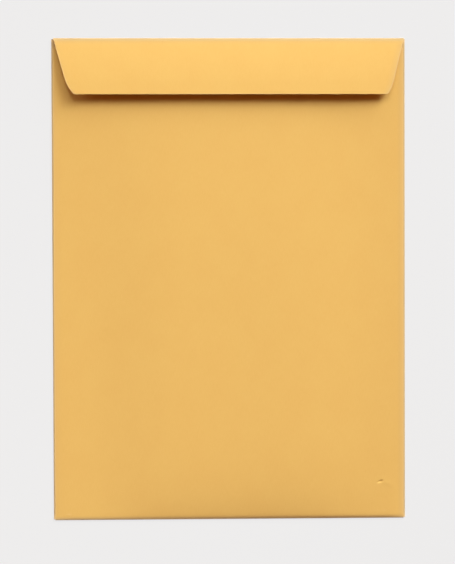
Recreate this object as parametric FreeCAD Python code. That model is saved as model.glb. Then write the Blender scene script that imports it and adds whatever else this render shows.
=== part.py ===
import FreeCAD, Part
import math
import os

from FreeCAD import Vector

# A document envelope of brown kraft paper: one sheet, cut out, folded and glued, lying on its address side.
# X runs across it, Y runs from its bottom fold to its top fold, and Z is up.
# The origin is under the middle of the envelope, on the surface that it rests on.

# Sheet
PAPER_THICKNESS = 0.15

# Outside of the folded envelope, from fold to fold
ENVELOPE_WIDTH = 229.0
ENVELOPE_LENGTH = 312.5

# Space inside the pocket, between the address panel and the side flaps
POCKET_GAP = 0.5

# Side flaps, folded in on the address panel, with slanted ends
SIDE_FLAP_WIDTH = 22.0
SIDE_FLAP_TAPER = 8.0

# Back panel, folded up at the bottom and glued down on the side flaps
SEAM_INSET = 1.0
THROAT_DEPTH = 5.0
THROAT_CORNER = 3.0

# Seal flap, folded over the back panel and left open, so that it rises towards its free edge
FLAP_DEPTH = 36.4
FLAP_CLEARANCE = 0.3
FLAP_SLOPE_AT_FOLD = 13.0
FLAP_SLOPE_AT_EDGE = 2.5

# Outline of the seal flap, cut a little uneven, so that its left side stands further in than its right
FLAP_SHOULDER_LEFT = 0.8
FLAP_SHOULDER_RIGHT = 0.2
FLAP_SLANT_LEFT = 16.2
FLAP_SLANT_RIGHT = 14.2
FLAP_CORNER_LEFT = 10.5
FLAP_CORNER_RIGHT = 8.5
FLAP_CORNER_RADIUS = 24.0
FLAP_TIP_RADIUS = 0.8

# Extra sheet that the cutting outlines reach past, and that they trim off
TRIM = 2.0

# Heights of the layers
SIDE_FLAP_UNDERSIDE = PAPER_THICKNESS + POCKET_GAP
BACK_UNDERSIDE = SIDE_FLAP_UNDERSIDE + PAPER_THICKNESS
BACK_TOP = BACK_UNDERSIDE + PAPER_THICKNESS
FLAP_UNDERSIDE = BACK_TOP + FLAP_CLEARANCE

# How far each fold's round stands out past the flat of the address panel
SIDE_FOLD_REACH = (SIDE_FLAP_UNDERSIDE + PAPER_THICKNESS) / 2
BOTTOM_FOLD_REACH = (BACK_UNDERSIDE + PAPER_THICKNESS) / 2
TOP_FOLD_REACH = (FLAP_UNDERSIDE + PAPER_THICKNESS) / 2

# Fold lines, where the flat of the address panel ends
SIDE_FOLD = ENVELOPE_WIDTH / 2 - SIDE_FOLD_REACH
BOTTOM_FOLD = ENVELOPE_LENGTH / 2 - BOTTOM_FOLD_REACH
TOP_FOLD = ENVELOPE_LENGTH / 2 - TOP_FOLD_REACH


def arc(place, centre, radius, start, end):
    """Arc in a section plane, between two angles in degrees, counted from straight down to outwards."""
    def point(angle):
        turn = math.radians(angle)
        return place(centre[0] + radius * math.sin(turn), centre[1] - radius * math.cos(turn))
    return Part.Arc(point(start), point((start + end) / 2), point(end)).toShape()


def line(place, start, end):
    """Straight edge in a section plane."""
    return Part.makeLine(place(*start), place(*end))


def prism(wire, travel):
    """Solid from a closed flat outline, pushed along a vector."""
    return Part.Face(wire).extrude(travel)


def turned_back_section(place, fold, underside, reach):
    """Section of a layer that turns half round at a fold and comes back flat over the address panel."""
    inner = (underside - PAPER_THICKNESS) / 2
    outer = inner + PAPER_THICKNESS
    centre = (fold, outer)
    top = underside + PAPER_THICKNESS
    return Part.Wire([
        arc(place, centre, outer, 0, 180),
        line(place, (fold, top), (fold - reach, top)),
        line(place, (fold - reach, top), (fold - reach, underside)),
        line(place, (fold - reach, underside), (fold, underside)),
        arc(place, centre, inner, 180, 0),
        line(place, (fold, PAPER_THICKNESS), (fold, 0)),
    ])


def rising_section(place):
    """Section of the seal flap: most of a half turn at the top fold, then a long rise that levels out."""
    inner = (FLAP_UNDERSIDE - PAPER_THICKNESS) / 2
    outer = inner + PAPER_THICKNESS
    middle = inner + PAPER_THICKNESS / 2
    fold_centre = (TOP_FOLD, outer)
    fold_end = 180 - FLAP_SLOPE_AT_FOLD
    steep = math.radians(FLAP_SLOPE_AT_FOLD)
    level = math.radians(FLAP_SLOPE_AT_EDGE)
    start = (fold_centre[0] + middle * math.sin(steep), fold_centre[1] + middle * math.cos(steep))
    free_edge = ENVELOPE_LENGTH / 2 - FLAP_DEPTH
    bend = (start[0] - free_edge) / (math.sin(steep) - math.sin(level))
    bend_centre = (start[0] - bend * math.sin(steep), start[1] - bend * math.cos(steep))
    bend_end = 180 - math.degrees(math.asin((free_edge - TRIM - bend_centre[0]) / bend))
    end_turn = math.radians(bend_end)
    upper = bend + PAPER_THICKNESS / 2
    lower = bend - PAPER_THICKNESS / 2
    upper_end = (bend_centre[0] + upper * math.sin(end_turn), bend_centre[1] - upper * math.cos(end_turn))
    lower_end = (bend_centre[0] + lower * math.sin(end_turn), bend_centre[1] - lower * math.cos(end_turn))
    return Part.Wire([
        arc(place, fold_centre, outer, 0, fold_end),
        arc(place, bend_centre, upper, fold_end, bend_end),
        line(place, upper_end, lower_end),
        arc(place, bend_centre, lower, bend_end, fold_end),
        arc(place, fold_centre, inner, fold_end, 0),
        line(place, (TOP_FOLD, PAPER_THICKNESS), (TOP_FOLD, 0)),
    ])


def flap_side(side, shoulder, slant, corner):
    """One slanted side of the seal flap with the curve of its corner, from the fold to the free edge."""
    lean = math.radians(slant)
    top = ENVELOPE_LENGTH / 2 + TRIM
    free_edge = ENVELOPE_LENGTH / 2 - FLAP_DEPTH
    curve_start_y = free_edge + corner
    fold_x = SIDE_FOLD - shoulder
    curve_start_x = fold_x - (ENVELOPE_LENGTH / 2 - curve_start_y) * math.tan(lean)
    centre_x = curve_start_x - FLAP_CORNER_RADIUS * math.cos(lean)
    centre_y = curve_start_y + FLAP_CORNER_RADIUS * math.sin(lean)
    end_turn = math.asin((centre_y - free_edge) / FLAP_CORNER_RADIUS)
    middle_turn = (lean + end_turn) / 2

    def on_curve(turn):
        x = centre_x + FLAP_CORNER_RADIUS * math.cos(turn)
        return Vector(side * x, centre_y - FLAP_CORNER_RADIUS * math.sin(turn), 0)

    shoulder_top = Vector(side * fold_x, top, 0)
    shoulder_point = Vector(side * fold_x, ENVELOPE_LENGTH / 2, 0)
    edges = [
        Part.makeLine(shoulder_top, shoulder_point),
        Part.makeLine(shoulder_point, on_curve(lean)),
        Part.Arc(on_curve(lean), on_curve(middle_turn), on_curve(end_turn)).toShape(),
    ]
    return edges, shoulder_top, on_curve(end_turn)


def flap_outline_block():
    """Upright block with the outline of the seal flap, to trim the bent sheet with."""
    right, right_top, right_tip = flap_side(1, FLAP_SHOULDER_RIGHT, FLAP_SLANT_RIGHT, FLAP_CORNER_RIGHT)
    left, left_top, left_tip = flap_side(-1, FLAP_SHOULDER_LEFT, FLAP_SLANT_LEFT, FLAP_CORNER_LEFT)
    closing = [Part.makeLine(right_tip, left_tip), Part.makeLine(left_top, right_top)]
    outline = Part.Wire(Part.__sortEdges__(right + left + closing))
    block = prism(outline, Vector(0, 0, FLAP_DEPTH))
    block.translate(Vector(0, 0, -TRIM))
    tips = [
        edge for edge in block.Edges
        for tip in (left_tip, right_tip)
        if all(math.hypot(vertex.X - tip.x, vertex.Y - tip.y) < 1e-6 for vertex in edge.Vertexes)
    ]
    return block.makeFillet(FLAP_TIP_RADIUS, tips)


def address_panel():
    """Flat panel that the envelope lies on, between its four fold lines."""
    corner = Vector(-SIDE_FOLD, -BOTTOM_FOLD, 0)
    return Part.makeBox(2 * SIDE_FOLD, BOTTOM_FOLD + TOP_FOLD, PAPER_THICKNESS, corner)


def side_flap(side):
    """Flap along one long side, folded in on the address panel, with both its ends slanted."""
    section = turned_back_section(
        lambda out, up: Vector(side * out, -BOTTOM_FOLD, up),
        SIDE_FOLD, SIDE_FLAP_UNDERSIDE, SIDE_FLAP_WIDTH)
    strip = prism(section, Vector(0, BOTTOM_FOLD + TOP_FOLD, 0))
    outer_x = SIDE_FOLD + SIDE_FOLD_REACH + TRIM
    inner_x = SIDE_FOLD - SIDE_FLAP_WIDTH
    corners = [
        (outer_x, -BOTTOM_FOLD), (SIDE_FOLD, -BOTTOM_FOLD), (inner_x, SIDE_FLAP_TAPER - BOTTOM_FOLD),
        (inner_x, TOP_FOLD - SIDE_FLAP_TAPER), (SIDE_FOLD, TOP_FOLD), (outer_x, TOP_FOLD),
        (outer_x, -BOTTOM_FOLD),
    ]
    outline = Part.makePolygon([Vector(side * x, y, -TRIM) for x, y in corners])
    return strip.common(prism(outline, Vector(0, 0, BACK_TOP + 2 * TRIM)))


def back_panel():
    """Panel folded up at the bottom and laid on the side flaps, ending at the mouth of the pocket."""
    half_width = ENVELOPE_WIDTH / 2 - SEAM_INSET
    throat = ENVELOPE_LENGTH / 2 - THROAT_DEPTH
    section = turned_back_section(
        lambda out, up: Vector(-half_width, -out, up),
        BOTTOM_FOLD, BACK_UNDERSIDE, BOTTOM_FOLD + throat)
    panel = prism(section, Vector(2 * half_width, 0, 0))
    throat_corners = [
        edge for edge in panel.Edges
        if edge.BoundBox.YMin > throat - PAPER_THICKNESS and edge.BoundBox.ZLength > PAPER_THICKNESS / 2
    ]
    return panel.makeFillet(THROAT_CORNER, throat_corners)


def seal_flap():
    """Flap that folds over the mouth from the top of the address panel."""
    section = rising_section(lambda out, up: Vector(-SIDE_FOLD, out, up))
    return prism(section, Vector(2 * SIDE_FOLD, 0, 0)).common(flap_outline_block())


def envelope():
    """The whole sheet, with its glued layers grown into one solid."""
    layers = [side_flap(-1), side_flap(1), back_panel(), seal_flap()]
    return address_panel().fuse(layers).removeSplitter()


os.makedirs("parts", exist_ok=True)
envelope().Solids[0].exportStep("parts/envelope.step")
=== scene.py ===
import math

import bmesh
import bpy
from bpy.props import FloatProperty, FloatVectorProperty, PointerProperty
from mathutils import Euler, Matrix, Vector, noise
from mathutils.kdtree import KDTree


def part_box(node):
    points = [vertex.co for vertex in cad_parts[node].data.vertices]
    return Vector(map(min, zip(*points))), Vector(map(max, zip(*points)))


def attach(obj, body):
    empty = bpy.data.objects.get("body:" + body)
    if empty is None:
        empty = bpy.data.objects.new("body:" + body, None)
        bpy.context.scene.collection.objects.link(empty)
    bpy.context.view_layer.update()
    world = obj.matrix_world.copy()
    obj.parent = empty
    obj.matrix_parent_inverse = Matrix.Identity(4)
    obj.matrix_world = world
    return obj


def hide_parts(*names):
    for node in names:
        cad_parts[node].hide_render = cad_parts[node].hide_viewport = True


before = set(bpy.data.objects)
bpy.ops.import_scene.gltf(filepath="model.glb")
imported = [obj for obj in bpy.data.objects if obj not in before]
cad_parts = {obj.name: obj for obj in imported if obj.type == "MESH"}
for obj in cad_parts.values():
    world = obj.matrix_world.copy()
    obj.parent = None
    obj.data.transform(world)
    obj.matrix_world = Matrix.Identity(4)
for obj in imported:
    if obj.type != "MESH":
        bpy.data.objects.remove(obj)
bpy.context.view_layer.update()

bl_info = {
    "name": "Paper Envelope",
    "version": (1, 0, 0),
    "blender": (4, 5, 0),
    "location": "3D View > Sidebar > Envelope",
    "description": "Folds an open-end kraft paper envelope and sets up a studio to show it in",
    "category": "Add Mesh",
}

CAD_LOW, CAD_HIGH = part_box("envelope")
MM = 0.001

# Names of the piece, of what it stands for and of its finish
PIECE = "envelope_sheet"
CAD_NODE = "envelope"
SLOT = "kraft_paper"

# Names of what the mesh stores: nearness to a cut edge, for its pale line of bared fibres and painted
# highlight, the round of a fold, for its line of rubbed fibres and painted shade, and the place on the
# flat sheet
CUT_EDGE_FIBRES_AND_HIGHLIGHT = "cut_edge"
FOLD_WEAR_AND_SHADE = "fold_wear"
FLAT_MAP = "flat_sheet"


def length_property(label, description, default):
    """A size in metres that shows with its unit in the sidebar."""
    return FloatProperty(
        name=label, description=description, default=default, min=0.0, precision=5,
        subtype="DISTANCE", unit="LENGTH")


def angle_property(label, description, degrees):
    """An angle that shows in degrees in the sidebar."""
    return FloatProperty(
        name=label, description=description, default=math.radians(degrees), precision=3,
        subtype="ANGLE", unit="ROTATION")


def power_property(label, default):
    """Radiant power of a lamp, in watts."""
    return FloatProperty(
        name=label, description="Radiant power of the lamp", default=default, min=0.0, precision=3,
        subtype="POWER", unit="POWER")


def colour_property(label, description, default):
    """A linear colour with a swatch in the sidebar."""
    return FloatVectorProperty(
        name=label, description=description, default=default, min=0.0, max=1.0, size=3,
        subtype="COLOR")


class EnvelopeSizes(bpy.types.PropertyGroup):
    """Sizes of the sheet and of its folds."""
    width: length_property("Width", "Outside, from side fold to side fold", CAD_HIGH.x - CAD_LOW.x)
    length: length_property("Length", "Outside, from bottom fold to top fold", CAD_HIGH.y - CAD_LOW.y)
    paper: length_property("Paper", "Thickness of the sheet", 0.15 * MM)
    pocket_gap: length_property("Pocket gap", "Space between address panel and side flaps", 0.5 * MM)
    glue_film: length_property("Glue film", "Space between side flaps and back panel", 0.022 * MM)
    side_flap: length_property("Side flap", "Width of the side flaps", 22.0 * MM)
    side_taper: length_property("Side taper", "Slant of the side flaps' ends", 8.0 * MM)
    seam_inset: length_property("Seam inset", "Back panel's edge inside the side fold", 1.0 * MM)
    throat_depth: length_property("Throat depth", "Back panel's edge below the top fold", 5.0 * MM)
    throat_corner: length_property("Throat corner", "Radius of the back panel's corners", 3.0 * MM)
    flap_depth: length_property("Flap depth", "From the top fold to the free edge", 36.7 * MM)
    flap_clearance: length_property("Flap clearance", "Space under the flap at the fold", 0.3 * MM)
    slope_at_fold: angle_property("Slope at fold", "Rise of the flap where it leaves the fold", 10.9)
    slope_at_edge: angle_property("Slope at edge", "Rise of the flap at its free edge", 4.5)
    shoulder_left: length_property("Left shoulder", "Flap's start inside the left fold", 0.8 * MM)
    shoulder_right: length_property("Right shoulder", "Flap's start inside the right fold", 0.2 * MM)
    slant_left: angle_property("Left slant", "Lean of the flap's left side", 16.2)
    slant_right: angle_property("Right slant", "Lean of the flap's right side", 14.2)
    corner_left: length_property("Left corner", "Height of the flap's left corner curve", 10.5 * MM)
    corner_right: length_property("Right corner", "Height of the flap's right corner curve", 8.5 * MM)
    corner_radius: length_property("Corner radius", "Radius of the flap's corner curves", 24.0 * MM)
    tip_radius: length_property("Tip radius", "Small round at the ends of the free edge", 0.8 * MM)


class EnvelopeShape(bpy.types.PropertyGroup):
    """How the paper lies: the soft shapes that its folds leave in it."""
    crown: length_property("Crown", "Rise of the back panel between the side flaps", 1.8 * MM)
    crown_run: length_property("Crown run", "How soon the crown rises from the bottom fold", 17.0 * MM)
    crown_side: length_property("Crown side", "How soon the crown rises from the side flaps", 33.0 * MM)
    mouth_run: length_property("Mouth run", "How soon crown and right rise end at the mouth", 90.0 * MM)
    wave: length_property("Wave", "Height of the slow waves in the back panel", 0.1 * MM)
    flap_wave: length_property("Flap wave", "Height of the slow waves in the flap", 0.1 * MM)
    lift_left: length_property("Left lift", "How far the flap's left end stands up", 0.22 * MM)
    drop_right: length_property("Right drop", "How far the flap's right end hangs down", 1.0 * MM)
    mouth_rise: length_property("Mouth rise", "Rise of the upper layers below the mouth", 0.9 * MM)
    right_rise: length_property("Right rise", "Rise of the upper layers along the right fold", 1.0 * MM)
    mouth_bulge: length_property("Mouth bulge", "Rise of the back panel under the flap's edge", 0.6 * MM)
    lip: length_property("Lip", "Bulge of the upper layers along the bottom fold", 0.6 * MM)
    dent_depth: length_property("Dent depth", "Depth of the small dent near the right fold", 0.5 * MM)


class EnvelopeColours(bpy.types.PropertyGroup):
    """Colours of the kraft paper, as linear values."""
    paper: colour_property("Paper", "Smooth face of the sheet", (0.812, 0.538, 0.146))
    light_fibre: colour_property("Light fibre", "Pale fibres in the sheet", (0.93, 0.64, 0.26))
    # The cut edge colour is bared fibres and a painted highlight along the cut outline
    cut_edge: colour_property("Cut edge", "Bared fibres along the cut outline", (0.90, 0.66, 0.30))
    dark_fibre: colour_property("Dark fibre", "Dark fibres and cloudy patches", (0.74, 0.40, 0.09))
    # The fold colour is rubbed fibres and painted shade, darker than the paper on the round of each fold
    fold: colour_property("Fold", "Line that wear leaves on the crest of a fold", (0.56, 0.46, 0.28))


class StudioSettings(bpy.types.PropertyGroup):
    """Lamps, backdrop and camera."""
    key_azimuth: angle_property("Key azimuth", "Turn of the lamp from the top fold to the right", 43.5)
    key_elevation: angle_property("Key elevation", "Height of the lamp, seen from the flap", 26.0)
    key_distance: length_property("Key distance", "From the flap to the lamp", 1.8)
    key_width: length_property("Key width", "Width of the soft lamp", 0.95)
    key_height: length_property("Key height", "Height of the soft lamp", 1.4)
    key_spread: angle_property("Key spread", "How wide the lamp's grid lets its light out", 40.0)
    key_power: power_property("Key power", 6.05)
    top_azimuth: angle_property("Top azimuth", "Turn of the lamp from the top fold to the right", -5.0)
    top_elevation: angle_property("Top elevation", "Height of the lamp, seen from the flap", 46.0)
    top_distance: length_property("Top distance", "From the flap to the lamp", 1.8)
    top_width: length_property("Top width", "Width of the soft lamp", 1.08)
    top_height: length_property("Top height", "Height of the soft lamp", 1.08)
    top_spread: angle_property("Top spread", "How wide the lamp's grid lets its light out", 44.0)
    top_power: power_property("Top power", 1.75)
    fill_azimuth: angle_property("Fill azimuth", "Turn of the lamp from the top fold to the right", -62.0)
    fill_elevation: angle_property("Fill elevation", "Height of the lamp, seen from the flap", 17.0)
    fill_distance: length_property("Fill distance", "From the flap to the lamp", 2.0)
    fill_width: length_property("Fill width", "Width of the soft lamp", 0.9)
    fill_height: length_property("Fill height", "Height of the soft lamp", 0.9)
    fill_spread: angle_property("Fill spread", "How wide the lamp's grid lets its light out", 180.0)
    fill_power: power_property("Fill power", 9.5)
    room_light: colour_property("Room light", "Warm even light from all round", (0.17, 0.055, 0.01))
    backdrop: colour_property("Backdrop", "Pale grey that the camera sees", (0.855, 0.855, 0.855))
    floor_evenness: FloatProperty(
        name="Floor evenness", description="Share of the floor that shows the plain backdrop colour",
        default=0.9, min=0.0, max=1.0, subtype="FACTOR")
    camera_height: length_property("Camera height", "Over the surface", 1018.1 * MM)
    camera_lens: FloatProperty(
        name="Lens", description="Focal length in millimetres", default=100.0, min=1.0)


# Steps of each pattern for each metre across and along the sheet, and how far some fibres lean
FIBRE_SCALE = (2600.0, 260.0, 1.0)
FIBRE_LEAN = math.radians(24.0)
CLOUD_SCALE = (60.0, 45.0, 1.0)
SHIVE_SCALE = (1500.0, 220.0, 1.0)
GRAIN_SCALE = (1800.0, 1800.0, 1.0)

# Detail and roughness of each pattern
FIBRE_NOISE = (4.0, 0.6)
LEANING_NOISE = (3.0, 0.55)
CLOUD_NOISE = (3.0, 0.6)
SHIVE_NOISE = (2.0, 0.5)
GRAIN_NOISE = (3.0, 0.6)

# Values between which each pattern, and the pale band along a cut edge (bared fibres and a painted
# highlight), fade in
FIBRE_FADE = (0.36, 0.64)
CLOUD_FADE = (0.3, 0.7)
SHIVE_FADE = (0.7, 0.78)
CUT_EDGE_FIBRES_AND_HIGHLIGHT_FADE = (0.15, 0.9)

# Largest share of each tint in the colour of the paper
CLOUD_TINT = 0.10
FIBRE_TINT = 0.12
SHIVE_TINT = 0.25
# The fold tint paints shade on the round of each fold as well as its rubbed fibres; the cut edge tint
# paints a highlight as well as its bared fibres
FOLD_WEAR_AND_SHADE_TINT = 0.8
CUT_EDGE_FIBRES_AND_HIGHLIGHT_TINT = 0.6

# Roughness and gloss of the paper, and its faint relief
PAPER_ROUGHNESS = 0.8
PAPER_GLOSS = 0.2
RELIEF_STRENGTH = 0.25
RELIEF_DEPTH = 0.01 * MM

# Sockets of a colour mix, by number, because its sockets for other kinds of value share their names
MIX_SHARE_INPUT = 0
MIX_BASE_INPUT = 6
MIX_COLOUR_INPUT = 7
MIX_COLOUR_OUTPUT = 2

# Half width of the floor, how far it lies under the paper, and its roughness
FLOOR_HALF = 20.0
FLOOR_DROP = 0.05 * MM
FLOOR_ROUGHNESS = 0.9

# Middle of the flap, from which the lamps' places are counted, and the points that two of them aim at
FLAP_MIDDLE = Vector((0.0, 120.0 * MM, 0.0))
KEY_AIM = Vector((-85.0 * MM, -150.0 * MM, 0.0))
TOP_AIM = Vector((-100.0 * MM, -150.0 * MM, 0.0))

# Camera place across and along, and its tilt about X, Y and Z in degrees
CAMERA_ACROSS = -26.4 * MM
CAMERA_ALONG = 21.2 * MM
CAMERA_TILT = (-1.287, -1.429, -0.190)

# Widest spacing of the sheet's net, and segments in its folds, its side flaps and its seal flap
NET_STEP = 4.0 * MM
FOLD_SEGMENTS = 10
SIDE_FLAP_SEGMENTS = 6
FLAP_SEGMENTS = 18

# Lines of the net in the round of a corner, as shares of its radius
ROUND_STEPS = (0.04, 0.12, 0.28, 0.55, 1.0)

# Reach of the closer rows above the bottom fold, and their spacing
LIP_REACH = 6.0 * MM
LIP_STEP = 0.6 * MM

# Corners of the closer net round the dent, and how many times it cuts each edge
DENT_NET_LOW = Vector((94.0 * MM, -138.0 * MM))
DENT_NET_HIGH = Vector((110.0 * MM, -126.0 * MM))
DENT_NET_CUTS = 11

# How far past the bottom or top fold line a point still counts as part of the address panel
SNAP = 0.01 * MM

# Width of the pale band along the cut outline: bared fibres and a painted highlight
EDGE_BAND = 0.8 * MM

# Width of the darker line on a fold, rubbed fibres and painted shade, as a share of half its round
WEAR_AND_SHADE_WIDTH = 2.1

# Angle between two faces from which their edge is shaded sharp
SHARP_ANGLE = math.radians(40.0)

# Slow waves: their steps for each metre across and along, and the layer of the noise that they come from
WAVE_NOISE = (14.0, 10.0, 3.1)
SLOWER_WAVE_NOISE = (6.0, 5.0, 8.4)
FLAP_WAVE_NOISE = (16.0, 12.0, 5.7)

# Height of the slower waves, as a share of the others
SLOWER_WAVE_SHARE = 1.5

# Share of the crown that is left at the pocket's mouth, under the flap
MOUTH_SHARE = 0.1

# Middle of the bulge below the mouth's edge, its half length, and how soon it rises from the side flaps
BULGE_PLACE = 24.0 * MM
BULGE_RUN = 14.0 * MM
BULGE_SIDE = 20.0 * MM

# Middle of the rise below the mouth's edge, its half length, and how soon it rises from the side folds
RISE_PLACE = 28.0 * MM
RISE_RUN = 16.0 * MM
RISE_SIDE = 12.0 * MM

# Power that blends the crown with this rise, so that the back panel keeps close to the higher of the two
RISE_BLEND = 4

# How soon the rise along the right fold comes up from that fold and from the bottom fold
RIGHT_SIDE = 24.0 * MM
RIGHT_BOTTOM = 20.0 * MM

# How soon the lip rises from the bottom fold, falls again and rises from the sides, and its left share
LIP_RISE = 0.9 * MM
LIP_FALL = 30.0 * MM
LIP_SIDE = 5.0 * MM
LIP_LEFT_SHARE = 0.4

# Distance from the middle at which the flap's ends start to bend
FLAP_END_START = 60.0 * MM

# Middle of the small dent, its half sizes along and across, and its turn
DENT_PLACE = Vector((98.3 * MM, -132.2 * MM))
DENT_SIZE = (1.0 * MM, 0.42 * MM)
DENT_TURN = math.radians(22.0)

# Middle of the raised paper beside the dent, its half sizes, and its height as a share of the dent's depth
DENT_BUMP_PLACE = Vector((103.3 * MM, -133.4 * MM))
DENT_BUMP_SIZE = (2.4 * MM, 1.3 * MM)
DENT_BUMP_SHARE = 0.22


def evenly(start, end, step):
    """Places from start to end, both included, no further apart than step."""
    count = max(1, math.ceil(abs(end - start) / step))
    return [start + (end - start) * i / count for i in range(count + 1)]


def hump(distance, run):
    """1 where the distance is nothing, and less and less both ways, down to almost 0 at twice the run."""
    return math.exp(-(distance / run) ** 2)


def gentle_rise(distance, run):
    """0 where the distance is nothing, with a level start, and almost 1 at twice the run."""
    return 1 - hump(distance, run)


def steep_rise(distance, run):
    """0 where the distance is nothing, with a steep start, and almost 1 at four times the run."""
    return 1 - math.exp(-distance / run)


class FoldedSheet:
    """Works out where each point of the flat sheet lies once it is folded."""

    def __init__(self, sizes, shape):
        self.sizes = sizes
        self.shape = shape
        side_top = sizes.paper * 2 + sizes.pocket_gap - sizes.glue_film
        back_top = sizes.paper * 3 + sizes.pocket_gap
        flap_top = back_top + sizes.flap_clearance + sizes.paper
        self.side_round = side_top / 2
        self.bottom_round = back_top / 2
        self.top_round = flap_top / 2
        self.side_fold = sizes.width / 2 - (sizes.paper * 2 + sizes.pocket_gap) / 2
        self.bottom_fold = sizes.length / 2 - self.bottom_round
        self.top_fold = sizes.length / 2 - self.top_round
        self.back_half = sizes.width / 2 - sizes.seam_inset
        self.throat = sizes.length / 2 - sizes.throat_depth
        self.free_edge = sizes.length / 2 - sizes.flap_depth
        self.flap_left = -self.side_fold + sizes.shoulder_left
        self.flap_right = self.side_fold - sizes.shoulder_right
        self.work_out_flap()

    def work_out_flap(self):
        """Turn of the top fold, then radius, centre and flat length of the flap's long rise."""
        steep, level = self.sizes.slope_at_fold, self.sizes.slope_at_edge
        middle = self.top_round - self.sizes.paper / 2
        start_y = self.top_fold + middle * math.sin(steep)
        start_z = self.top_round + middle * math.cos(steep)
        bend = (start_y - self.free_edge) / (math.sin(steep) - math.sin(level))
        self.rise_centre = (start_y - bend * math.sin(steep), start_z - bend * math.cos(steep))
        self.rise_radius = bend + self.sizes.paper / 2
        self.fold_turn = math.pi - steep
        edge_slope = math.asin((self.free_edge - self.rise_centre[0]) / self.rise_radius)
        self.flap_start = self.top_fold + self.top_round * self.fold_turn
        self.flap_end = self.flap_start + self.rise_radius * (steep - edge_slope)

    @property
    def side_start(self):
        """Flat place across the sheet where the right side flap begins past its fold."""
        return self.side_fold + math.pi * self.side_round

    @property
    def back_start(self):
        """Flat place along the sheet where the back panel begins past the bottom fold."""
        return -self.bottom_fold - math.pi * self.bottom_round

    @property
    def back_end(self):
        """Flat place along the sheet of the back panel's edge at the mouth."""
        return self.back_start - self.bottom_fold - self.throat

    def columns(self):
        """Lines of the net across the sheet, from the left side flap to the right one."""
        fold_step = math.pi * self.side_round / FOLD_SEGMENTS
        flap_step = self.sizes.side_flap / SIDE_FLAP_SEGMENTS
        right = evenly(self.side_fold, self.side_start, fold_step)
        right += evenly(self.side_start, self.side_start + self.sizes.side_flap, flap_step)[1:]
        left = [-u for u in reversed(right)]
        left_lines = [-self.back_half, self.flap_left, self.flap_left + EDGE_BAND]
        right_lines = [self.flap_right - EDGE_BAND, self.back_half, self.flap_right]
        middle = evenly(left_lines[-1], right_lines[0], NET_STEP)
        return left + left_lines[:-1] + middle + right_lines[1:] + right

    def rows(self):
        """Lines of the net along the sheet, from the back panel's mouth edge to the flap's free edge."""
        corner = [self.back_end + self.sizes.throat_corner * share for share in ROUND_STEPS]
        lip_end = self.back_start - LIP_REACH
        back = [self.back_end] + corner + evenly(corner[-1], lip_end, NET_STEP)[1:]
        back += evenly(lip_end, self.back_start, LIP_STEP)[1:]
        bottom = evenly(self.back_start, -self.bottom_fold, math.pi * self.bottom_round / FOLD_SEGMENTS)
        address = evenly(-self.bottom_fold, self.top_fold, NET_STEP)
        top = evenly(self.top_fold, self.flap_start, self.top_round * self.fold_turn / FOLD_SEGMENTS)
        tip = [self.flap_end - self.sizes.tip_radius * share for share in reversed(ROUND_STEPS)]
        rise = evenly(self.flap_start, tip[0], (tip[0] - self.flap_start) / FLAP_SEGMENTS)
        return back + bottom[1:] + address[1:] + top[1:] + rise[1:] + tip[1:] + [self.flap_end]

    def is_paper(self, u, v):
        """Whether a place on the net belongs to the cut sheet."""
        if v < -self.bottom_fold:
            return abs(u) < self.back_half
        if v > self.top_fold:
            return self.flap_left < u < self.flap_right
        return True

    def throat_half(self, y):
        """Half width of the back panel, which narrows round its corners at the mouth."""
        over = y - (self.throat - self.sizes.throat_corner)
        if over <= 0:
            return self.back_half
        radius = self.sizes.throat_corner
        return self.back_half - radius + math.sqrt(max(radius ** 2 - over ** 2, 0))

    def flap_half(self, y, shoulder, slant, corner):
        """Distance from the middle line to one side of the flap, at a place along the envelope."""
        radius, tip = self.sizes.corner_radius, self.sizes.tip_radius
        start = self.side_fold - shoulder
        curve_y = self.free_edge + corner
        if y >= curve_y:
            return start - max(self.sizes.length / 2 - y, 0) * math.tan(slant)
        curve_x = start - (self.sizes.length / 2 - curve_y) * math.tan(slant)
        centre_x = curve_x - radius * math.cos(slant)
        centre_y = curve_y + radius * math.sin(slant)
        tip_y = self.free_edge + tip
        tip_x = centre_x + math.sqrt((radius - tip) ** 2 - (centre_y - tip_y) ** 2)
        meet_y = centre_y + (tip_y - centre_y) * radius / (radius - tip)
        if y >= meet_y:
            return centre_x + math.sqrt(radius ** 2 - (centre_y - y) ** 2)
        return tip_x + math.sqrt(max(tip ** 2 - (tip_y - y) ** 2, 0))

    def place(self, u, v):
        """Place of a point of the sheet's outer face after folding."""
        if v < -self.bottom_fold - SNAP:
            return self.on_back_panel(u, v)
        if v > self.top_fold + SNAP:
            return self.on_seal_flap(u, v)
        if abs(u) > self.side_fold:
            return self.on_side_flap(u, v)
        return Vector((u, v, 0.0))

    def wear_and_shade(self, u, v):
        """How much a place of the flat sheet lies on the round of a fold, where the paper is rubbed and
        shade is painted.
        """
        side = math.pi * self.side_round / 2
        bottom = math.pi * self.bottom_round / 2
        top = self.top_round * self.fold_turn / 2
        folds = (
            (abs(u) - self.side_fold - side, side),
            (-v - self.bottom_fold - bottom, bottom),
            (v - self.top_fold - top, top),
        )
        return max(hump(away, half * WEAR_AND_SHADE_WIDTH) for away, half in folds)

    def on_side_flap(self, u, v):
        """Round a side fold and back over the address panel."""
        side = math.copysign(1.0, u)
        past = abs(u) - self.side_fold
        turn = min(past / self.side_round, math.pi)
        flat = max(past - math.pi * self.side_round, 0.0)
        x = self.side_fold + self.side_round * math.sin(turn) - flat
        z = self.side_round * (1 - math.cos(turn))
        taper = self.sizes.side_taper * flat / self.sizes.side_flap
        share = (v + self.bottom_fold) / (self.top_fold + self.bottom_fold)
        y = -self.bottom_fold + taper + share * (self.top_fold + self.bottom_fold - 2 * taper)
        place = Vector((side * x, y, z))
        if flat > 0:
            place.z += self.mouth_rise(place) + self.right_rise(place)
            place.z += self.bottom_lip(place) + self.dent(place)
        return place

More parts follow.
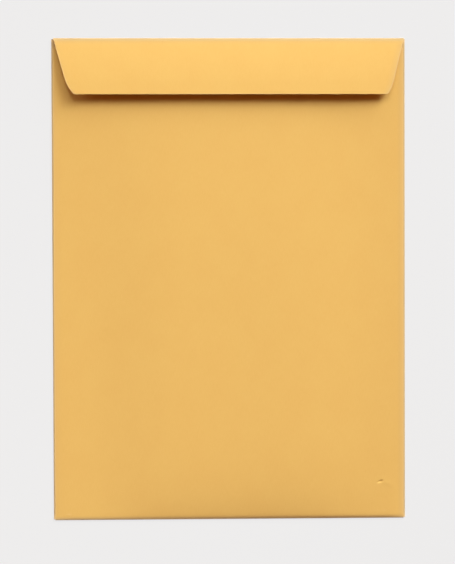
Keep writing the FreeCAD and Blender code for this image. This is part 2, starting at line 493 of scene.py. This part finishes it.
    def on_back_panel(self, u, v):
        """Round the bottom fold and up over the side flaps."""
        past = -self.bottom_fold - v
        turn = min(past / self.bottom_round, math.pi)
        flat = max(past - math.pi * self.bottom_round, 0.0)
        y = -self.bottom_fold - self.bottom_round * math.sin(turn) + flat
        z = self.bottom_round * (1 - math.cos(turn))
        place = Vector((u * self.throat_half(y) / self.back_half, y, z))
        if flat > 0:
            place.z += self.swell(place) + self.bottom_lip(place) + self.dent(place)
        return place

    def on_seal_flap(self, u, v):
        """Round the top fold, then up the long rise to the free edge."""
        past = v - self.top_fold
        turn = min(past / self.top_round, self.fold_turn)
        flat = max(v - self.flap_start, 0.0)
        if flat > 0:
            slope = self.sizes.slope_at_fold - flat / self.rise_radius
            y = self.rise_centre[0] + self.rise_radius * math.sin(slope)
            z = self.rise_centre[1] + self.rise_radius * math.cos(slope)
        else:
            y = self.top_fold + self.top_round * math.sin(turn)
            z = self.top_round * (1 - math.cos(turn))
        sizes = self.sizes
        left = -self.flap_half(y, sizes.shoulder_left, sizes.slant_left, sizes.corner_left)
        right = self.flap_half(y, sizes.shoulder_right, sizes.slant_right, sizes.corner_right)
        across = (u - self.flap_left) / (self.flap_right - self.flap_left)
        x = left + across * (right - left)
        z -= self.flap_waves(x, flat)
        return Vector((x, y, z))

    def mouth_rise(self, place):
        """Rise of the two upper layers below the mouth, where nothing ties them to the address panel."""
        side = max(self.side_fold - abs(place.x), 0.0)
        mouth = self.throat - place.y
        return self.shape.mouth_rise * hump(mouth - RISE_PLACE, RISE_RUN) * gentle_rise(side, RISE_SIDE)

    def swell(self, place):
        """Rise of the back panel: its crown blended with the rise below the mouth, and the right rise."""
        rise = self.mouth_rise(place)
        higher = (rise ** RISE_BLEND + self.crown(place) ** RISE_BLEND) ** (1 / RISE_BLEND)
        return higher + self.right_rise(place)

    def right_rise(self, place):
        """Rise of the two upper layers along the right fold, dying away leftwards and at both ends."""
        side = max(self.side_fold - place.x, 0.0)
        bottom = max(place.y + self.bottom_fold, 0.0)
        mouth = self.throat - place.y
        share = self.rightness(place.x) * gentle_rise(side, RIGHT_SIDE)
        share *= steep_rise(bottom, RIGHT_BOTTOM)
        share *= gentle_rise(mouth, self.shape.mouth_run)
        return self.shape.right_rise * share

    def rightness(self, x):
        """Share that grows from 0 at the left fold to 1 at the right one."""
        return min(max((1 + x / self.side_fold) / 2, 0.0), 1.0)

    def crown(self, place):
        """Low crown with slow waves and a bulge, where no side flap holds the back panel down."""
        side = self.side_fold - self.sizes.side_flap - abs(place.x)
        bottom = place.y + self.bottom_fold
        mouth = self.throat - place.y
        if side <= 0 or bottom <= 0:
            return 0.0
        held = gentle_rise(side, self.shape.crown_side) * steep_rise(bottom, self.shape.crown_run)
        held *= MOUTH_SHARE + (1 - MOUTH_SHARE) * gentle_rise(mouth, self.shape.mouth_run)
        waves = self.back_waves(place, WAVE_NOISE)
        waves += SLOWER_WAVE_SHARE * self.back_waves(place, SLOWER_WAVE_NOISE)
        bulge = self.shape.mouth_bulge * hump(mouth - BULGE_PLACE, BULGE_RUN)
        bulge *= gentle_rise(side, BULGE_SIDE)
        return bulge + held * (self.shape.crown + self.shape.wave * waves)

    def back_waves(self, place, steps):
        """Random slow waves of the back panel, from -1 to 1."""
        across, along, layer = steps
        return noise.noise(Vector((place.x * across, place.y * along, layer)))

    def bottom_lip(self, place):
        """Bulge of the two upper layers along the bottom fold, larger towards the right."""
        away = place.y + self.bottom_fold
        if away <= 0:
            return 0.0
        share = LIP_LEFT_SHARE + (1 - LIP_LEFT_SHARE) * self.rightness(place.x)
        share *= gentle_rise(self.side_fold - abs(place.x), LIP_SIDE)
        return self.shape.lip * share * steep_rise(away, LIP_RISE) * math.exp(-away / LIP_FALL)

    def flap_waves(self, x, flat):
        """How far waves and bent ends lower the flap, or lift it where negative, growing from its fold."""
        growth = flat / (self.flap_end - self.flap_start)
        across, along, layer = FLAP_WAVE_NOISE
        slow = noise.noise(Vector((x * across, layer, flat * along)))
        end = max(abs(x) - FLAP_END_START, 0.0) / (self.side_fold - FLAP_END_START)
        bend = self.shape.drop_right if x > 0 else -self.shape.lift_left
        return growth * (self.shape.flap_wave * (1 + slow) / 2 + bend * end ** 2)

    def dent(self, place):
        """Small dent pressed into the paper near the right fold, with a raised patch beside it."""
        def hill(middle, size, turn):
            away = Vector((place.x, place.y)) - middle
            along = away.x * math.cos(turn) + away.y * math.sin(turn)
            across = away.y * math.cos(turn) - away.x * math.sin(turn)
            return math.exp(-((along / size[0]) ** 2 + (across / size[1]) ** 2) / 2)
        pressed = hill(DENT_PLACE, DENT_SIZE, DENT_TURN)
        raised = hill(DENT_BUMP_PLACE, DENT_BUMP_SIZE, -DENT_TURN)
        return self.shape.dent_depth * (DENT_BUMP_SHARE * raised - pressed)


def lay_net(columns, rows):
    """Flat net of faces, with a line at each given place across and along."""
    net = bmesh.new()
    last = net.verts.new((columns[0], rows[0], 0.0))
    for u in columns[1:]:
        made = bmesh.ops.extrude_vert_indiv(net, verts=[last])
        last = made["verts"][0]
        last.co.x = u
    edges = net.edges[:]
    for v in rows[1:]:
        made = bmesh.ops.extrude_edge_only(net, edges=edges)["geom"]
        moved = {item for item in made if isinstance(item, bmesh.types.BMVert)}
        for vert in moved:
            vert.co.y = v
        edges = [
            item for item in made
            if isinstance(item, bmesh.types.BMEdge) and all(vert in moved for vert in item.verts)
        ]
    return net


def cut_out(net, sheet):
    """Removes what lies outside the cut sheet."""
    waste = [face for face in net.faces if not sheet.is_paper(*face.calc_center_median().xy)]
    bmesh.ops.delete(net, geom=waste, context="FACES")


def refine_dent(net, sheet):
    """Closer net round the dent, on the back panel and on the side flap under it."""
    chosen = set()
    for face in net.faces:
        middle = face.calc_center_median()
        if middle.y < sheet.back_start or middle.x > sheet.side_start:
            place = sheet.place(middle.x, middle.y)
            near_x = DENT_NET_LOW.x < place.x < DENT_NET_HIGH.x
            near_y = DENT_NET_LOW.y < place.y < DENT_NET_HIGH.y
            if near_x and near_y:
                chosen.update(face.edges)
    bmesh.ops.subdivide_edges(net, edges=list(chosen), cuts=DENT_NET_CUTS, use_grid_fill=True)


def keep_flat_map(net):
    """Stores where each corner lies on the flat sheet, so that the grain runs through the folds."""
    layer = net.loops.layers.uv.new(FLAT_MAP)
    for face in net.faces:
        for loop in face.loops:
            loop[layer].uv = loop.vert.co.xy


def mark_cut_edge_fibres_and_highlight(net):
    """Stores how near each point lies to the cut outline, from 1 on it to 0 a short way in, for a pale
    line of bared fibres and painted highlight.
    """
    layer = net.verts.layers.float.new(CUT_EDGE_FIBRES_AND_HIGHLIGHT)
    outline = [vert for vert in net.verts if vert.is_boundary]
    tree = KDTree(len(outline))
    for index, vert in enumerate(outline):
        tree.insert(vert.co, index)
    tree.balance()
    for vert in net.verts:
        distance = tree.find(vert.co)[2]
        vert[layer] = max(0.0, 1.0 - distance / EDGE_BAND)


def mark_fold_wear_and_shade(net, sheet):
    """Stores how far each point lies out on the round of a fold, from 0 on the flats to 1 at its crest,
    for a line of rubbed fibres and painted shade.
    """
    layer = net.verts.layers.float.new(FOLD_WEAR_AND_SHADE)
    for vert in net.verts:
        vert[layer] = sheet.wear_and_shade(vert.co.x, vert.co.y)


def fold_net(net, sheet):
    """Moves each point of the flat net to its place on the folded envelope."""
    for vert in net.verts:
        vert.co = sheet.place(vert.co.x, vert.co.y)


def build_sheet(sizes, shape):
    """Mesh of the whole envelope: cut out flat, folded, and given the paper's thickness."""
    sheet = FoldedSheet(sizes, shape)
    net = lay_net(sheet.columns(), sheet.rows())
    cut_out(net, sheet)
    refine_dent(net, sheet)
    keep_flat_map(net)
    mark_fold_wear_and_shade(net, sheet)
    fold_net(net, sheet)
    mark_cut_edge_fibres_and_highlight(net)
    bmesh.ops.recalc_face_normals(net, faces=net.faces[:])
    bmesh.ops.solidify(net, geom=net.faces[:], thickness=sizes.paper)
    mesh = bpy.data.meshes.new(PIECE)
    net.to_mesh(mesh)
    net.free()
    mesh.shade_smooth()
    mesh.set_sharp_from_angle(angle=SHARP_ANGLE)
    return mesh


def link(tree, source, target):
    """Joins two sockets."""
    tree.links.new(source, target)


def math_node(tree, operation, first, second=None):
    """Math node with its inputs set to sockets or numbers, and its output socket returned."""
    node = tree.nodes.new("ShaderNodeMath")
    node.operation = operation
    for socket, value in zip(node.inputs, (first, second)):
        if isinstance(value, bpy.types.NodeSocket):
            link(tree, value, socket)
        elif value is not None:
            socket.default_value = value
    return node.outputs["Value"]


def mapped(tree, vector, scale, turn=0.0):
    """Coordinates stretched and turned for one pattern."""
    node = tree.nodes.new("ShaderNodeMapping")
    node.inputs["Scale"].default_value = scale
    node.inputs["Rotation"].default_value = (0.0, 0.0, turn)
    link(tree, vector, node.inputs["Vector"])
    return node.outputs["Vector"]


def noise_node(tree, vector, detail, roughness):
    """Soft random pattern from 0 to 1."""
    node = tree.nodes.new("ShaderNodeTexNoise")
    node.inputs["Scale"].default_value = 1.0
    node.inputs["Detail"].default_value = detail
    node.inputs["Roughness"].default_value = roughness
    link(tree, vector, node.inputs["Vector"])
    return node.outputs["Fac"]


def between(tree, value, low, high):
    """Maps a value smoothly from 0 at low to 1 at high."""
    node = tree.nodes.new("ShaderNodeMapRange")
    node.interpolation_type = "SMOOTHSTEP"
    node.inputs["From Min"].default_value = low
    node.inputs["From Max"].default_value = high
    link(tree, value, node.inputs["Value"])
    return node.outputs["Result"]


def tint(tree, share, base, colour):
    """Mixes a share of a colour into a base."""
    node = tree.nodes.new("ShaderNodeMix")
    node.data_type = "RGBA"
    link(tree, share, node.inputs[MIX_SHARE_INPUT])
    if isinstance(base, bpy.types.NodeSocket):
        link(tree, base, node.inputs[MIX_BASE_INPUT])
    else:
        node.inputs[MIX_BASE_INPUT].default_value = (*base, 1.0)
    node.inputs[MIX_COLOUR_INPUT].default_value = (*colour, 1.0)
    return node.outputs[MIX_COLOUR_OUTPUT]


def mix_shaders(tree, share, first, second, target):
    """Gives a socket the first shader, with a share of the second."""
    node = tree.nodes.new("ShaderNodeMixShader")
    link(tree, share, node.inputs["Fac"])
    for source, socket in zip((first, second), node.inputs[1:]):
        link(tree, source, socket)
    link(tree, node.outputs["Shader"], target)


def stored_value(tree, name):
    """Value that the mesh stores for each point under a name."""
    node = tree.nodes.new("ShaderNodeAttribute")
    node.attribute_name = name
    return node.outputs["Fac"]


def paper_patterns():
    """Node group with the patterns of kraft paper: fibres, cloudy patches, dark shives and relief."""
    group = bpy.data.node_groups.new("paper_patterns", "ShaderNodeTree")
    group.interface.new_socket("Sheet", in_out="INPUT", socket_type="NodeSocketVector")
    for name in ("Fibres", "Clouds", "Shives", "Relief"):
        group.interface.new_socket(name, in_out="OUTPUT", socket_type="NodeSocketFloat")
    sheet = group.nodes.new("NodeGroupInput").outputs["Sheet"]
    result = group.nodes.new("NodeGroupOutput")
    along = noise_node(group, mapped(group, sheet, FIBRE_SCALE), *FIBRE_NOISE)
    leaning = noise_node(group, mapped(group, sheet, FIBRE_SCALE, FIBRE_LEAN), *LEANING_NOISE)
    fibres = math_node(group, "MULTIPLY", math_node(group, "ADD", along, leaning), 0.5)
    link(group, between(group, fibres, *FIBRE_FADE), result.inputs["Fibres"])
    patches = noise_node(group, mapped(group, sheet, CLOUD_SCALE), *CLOUD_NOISE)
    link(group, between(group, patches, *CLOUD_FADE), result.inputs["Clouds"])
    shives = noise_node(group, mapped(group, sheet, SHIVE_SCALE, -FIBRE_LEAN), *SHIVE_NOISE)
    link(group, between(group, shives, *SHIVE_FADE), result.inputs["Shives"])
    grain = noise_node(group, mapped(group, sheet, GRAIN_SCALE), *GRAIN_NOISE)
    link(group, math_node(group, "ADD", fibres, grain), result.inputs["Relief"])
    return group


def kraft_paper(colours):
    """Smooth golden kraft paper: cloudy tone, long fibres, folds rubbed and darkened with painted shade,
    and cut edges paled with bared fibres and a painted highlight.
    """
    material = bpy.data.materials.new(SLOT)
    material.use_nodes = True
    tree = material.node_tree
    shader = tree.nodes["Principled BSDF"]
    flat = tree.nodes.new("ShaderNodeUVMap")
    flat.uv_map = FLAT_MAP
    patterns = tree.nodes.new("ShaderNodeGroup")
    patterns.node_tree = paper_patterns()
    link(tree, flat.outputs["UV"], patterns.inputs["Sheet"])
    tints = (
        (patterns.outputs["Clouds"], CLOUD_TINT, colours.dark_fibre),
        (patterns.outputs["Fibres"], FIBRE_TINT, colours.light_fibre),
        (patterns.outputs["Shives"], SHIVE_TINT, colours.dark_fibre),
        # The fold line is rubbed fibres with painted shade; the pale cut edge is bared fibres with a
        # painted highlight
        (stored_value(tree, FOLD_WEAR_AND_SHADE), FOLD_WEAR_AND_SHADE_TINT, colours.fold),
        (between(tree, stored_value(tree, CUT_EDGE_FIBRES_AND_HIGHLIGHT), *CUT_EDGE_FIBRES_AND_HIGHLIGHT_FADE), CUT_EDGE_FIBRES_AND_HIGHLIGHT_TINT, colours.cut_edge),
    )
    colour = colours.paper
    for value, largest, tint_colour in tints:
        colour = tint(tree, math_node(tree, "MULTIPLY", value, largest), colour, tint_colour)
    link(tree, colour, shader.inputs["Base Color"])
    shader.inputs["Roughness"].default_value = PAPER_ROUGHNESS
    shader.inputs["Specular IOR Level"].default_value = PAPER_GLOSS
    bump = tree.nodes.new("ShaderNodeBump")
    bump.inputs["Strength"].default_value = RELIEF_STRENGTH
    bump.inputs["Distance"].default_value = RELIEF_DEPTH
    link(tree, patterns.outputs["Relief"], bump.inputs["Height"])
    link(tree, bump.outputs["Normal"], shader.inputs["Normal"])
    return material


class ENVELOPE_OT_sheet(bpy.types.Operator):
    """Cuts out and folds the envelope, and gives it its kraft paper"""
    bl_idname = "envelope.sheet"
    bl_label = "Fold Envelope"

    def execute(self, context):
        scene = context.scene
        mesh = build_sheet(scene.envelope_sizes, scene.envelope_shape)
        piece = bpy.data.objects.new(PIECE, mesh)
        scene.collection.objects.link(piece)
        mesh.materials.append(kraft_paper(scene.envelope_colours))
        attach(piece, "root")
        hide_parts(CAD_NODE)
        return {"FINISHED"}


def make_floor(studio):
    """Pale surface under the envelope, which keeps a part of its shadow."""
    net = bmesh.new()
    bmesh.ops.create_grid(net, x_segments=1, y_segments=1, size=FLOOR_HALF)
    bmesh.ops.translate(net, verts=net.verts[:], vec=(0.0, 0.0, -FLOOR_DROP))
    mesh = bpy.data.meshes.new("floor")
    net.to_mesh(mesh)
    net.free()
    floor = bpy.data.objects.new("floor", mesh)
    bpy.context.scene.collection.objects.link(floor)
    material = bpy.data.materials.new("pale_floor")
    material.use_nodes = True
    tree = material.node_tree
    shader = tree.nodes["Principled BSDF"]
    shader.inputs["Base Color"].default_value = (*studio.backdrop, 1.0)
    shader.inputs["Roughness"].default_value = FLOOR_ROUGHNESS
    shader.inputs["Specular IOR Level"].default_value = 0.0
    even = tree.nodes.new("ShaderNodeEmission")
    even.inputs["Color"].default_value = (*studio.backdrop, 1.0)
    share = math_node(tree, "MULTIPLY", seen_ray(tree), studio.floor_evenness)
    surface = tree.nodes["Material Output"].inputs["Surface"]
    mix_shaders(tree, share, shader.outputs["BSDF"], even.outputs["Emission"], surface)
    mesh.materials.append(material)


def seen_ray(tree):
    """1 for rays of the camera, and for those that reach it by gloss or through glass."""
    path = tree.nodes.new("ShaderNodeLightPath")
    glossy = math_node(tree, "MAXIMUM", path.outputs["Is Camera Ray"], path.outputs["Is Glossy Ray"])
    return math_node(tree, "MAXIMUM", glossy, path.outputs["Is Transmission Ray"])


def make_room_light(studio):
    """Even light from all round, with the plain backdrop where the camera sees it."""
    world = bpy.data.worlds.new("room")
    world.use_nodes = True
    tree = world.node_tree
    even = tree.nodes["Background"]
    even.inputs["Color"].default_value = (*studio.room_light, 1.0)
    seen = tree.nodes.new("ShaderNodeBackground")
    seen.inputs["Color"].default_value = (*studio.backdrop, 1.0)
    surface = tree.nodes["World Output"].inputs["Surface"]
    mix_shaders(tree, seen_ray(tree), even.outputs["Background"], seen.outputs["Background"], surface)
    bpy.context.scene.world = world


def make_lamp(studio, name, aim):
    """Rectangular soft lamp, placed as seen from the flap and turned to its aim."""
    def setting(what):
        return getattr(studio, f"{name}_{what}")
    flat = math.cos(setting("elevation"))
    toward = Vector((
        flat * math.sin(setting("azimuth")), flat * math.cos(setting("azimuth")),
        math.sin(setting("elevation"))))
    lamp = bpy.data.lights.new(f"{name}_lamp", "AREA")
    lamp.shape = "RECTANGLE"
    lamp.size = setting("width")
    lamp.size_y = setting("height")
    lamp.energy = setting("power")
    lamp.spread = setting("spread")
    holder = bpy.data.objects.new(f"{name}_lamp", lamp)
    holder.location = FLAP_MIDDLE + toward * setting("distance")
    holder.rotation_euler = (holder.location - aim).to_track_quat("Z", "Y").to_euler()
    bpy.context.scene.collection.objects.link(holder)


def make_camera(studio):
    """Long lens almost straight above the envelope."""
    lens = bpy.data.cameras.new("camera")
    lens.lens = studio.camera_lens
    camera = bpy.data.objects.new("camera", lens)
    camera.location = (CAMERA_ACROSS, CAMERA_ALONG, studio.camera_height)
    camera.rotation_euler = Euler([math.radians(turn) for turn in CAMERA_TILT])
    bpy.context.scene.collection.objects.link(camera)
    bpy.context.scene.camera = camera


class ENVELOPE_OT_studio(bpy.types.Operator):
    """Sets up the pale floor, the light and the camera above the envelope"""
    bl_idname = "envelope.studio"
    bl_label = "Set Up Studio"

    def execute(self, context):
        studio = context.scene.envelope_studio
        make_floor(studio)
        make_room_light(studio)
        for name, aim in (("key", KEY_AIM), ("top", TOP_AIM), ("fill", FLAP_MIDDLE)):
            make_lamp(studio, name, aim)
        make_camera(studio)
        context.scene.view_settings.view_transform = "Standard"
        return {"FINISHED"}


class ENVELOPE_PT_sidebar(bpy.types.Panel):
    """Lists the envelope's sizes, colours and tools"""
    bl_label = "Paper Envelope"
    bl_idname = "ENVELOPE_PT_sidebar"
    bl_space_type = "VIEW_3D"
    bl_region_type = "UI"
    bl_category = "Envelope"

    def draw(self, context):
        for settings in SETTINGS:
            group = getattr(context.scene, settings)
            column = self.layout.box().column(align=True)
            for name in group.__annotations__:
                column.prop(group, name)
        for operator in (ENVELOPE_OT_sheet, ENVELOPE_OT_studio):
            self.layout.operator(operator.bl_idname)


SETTINGS = {
    "envelope_sizes": EnvelopeSizes,
    "envelope_shape": EnvelopeShape,
    "envelope_colours": EnvelopeColours,
    "envelope_studio": StudioSettings,
}
CLASSES = (*SETTINGS.values(), ENVELOPE_OT_sheet, ENVELOPE_OT_studio, ENVELOPE_PT_sidebar)


def register():
    """Adds the classes and the scene's settings."""
    for cls in CLASSES:
        bpy.utils.register_class(cls)
    for name, group in SETTINGS.items():
        setattr(bpy.types.Scene, name, PointerProperty(type=group))


def unregister():
    """Takes the settings and the classes away again."""
    for name in SETTINGS:
        delattr(bpy.types.Scene, name)
    for cls in reversed(CLASSES):
        bpy.utils.unregister_class(cls)


def main():
    """Makes the studio and the envelope."""
    register()
    bpy.ops.envelope.studio()
    bpy.ops.envelope.sheet()


if __name__ == "__main__":
    main()
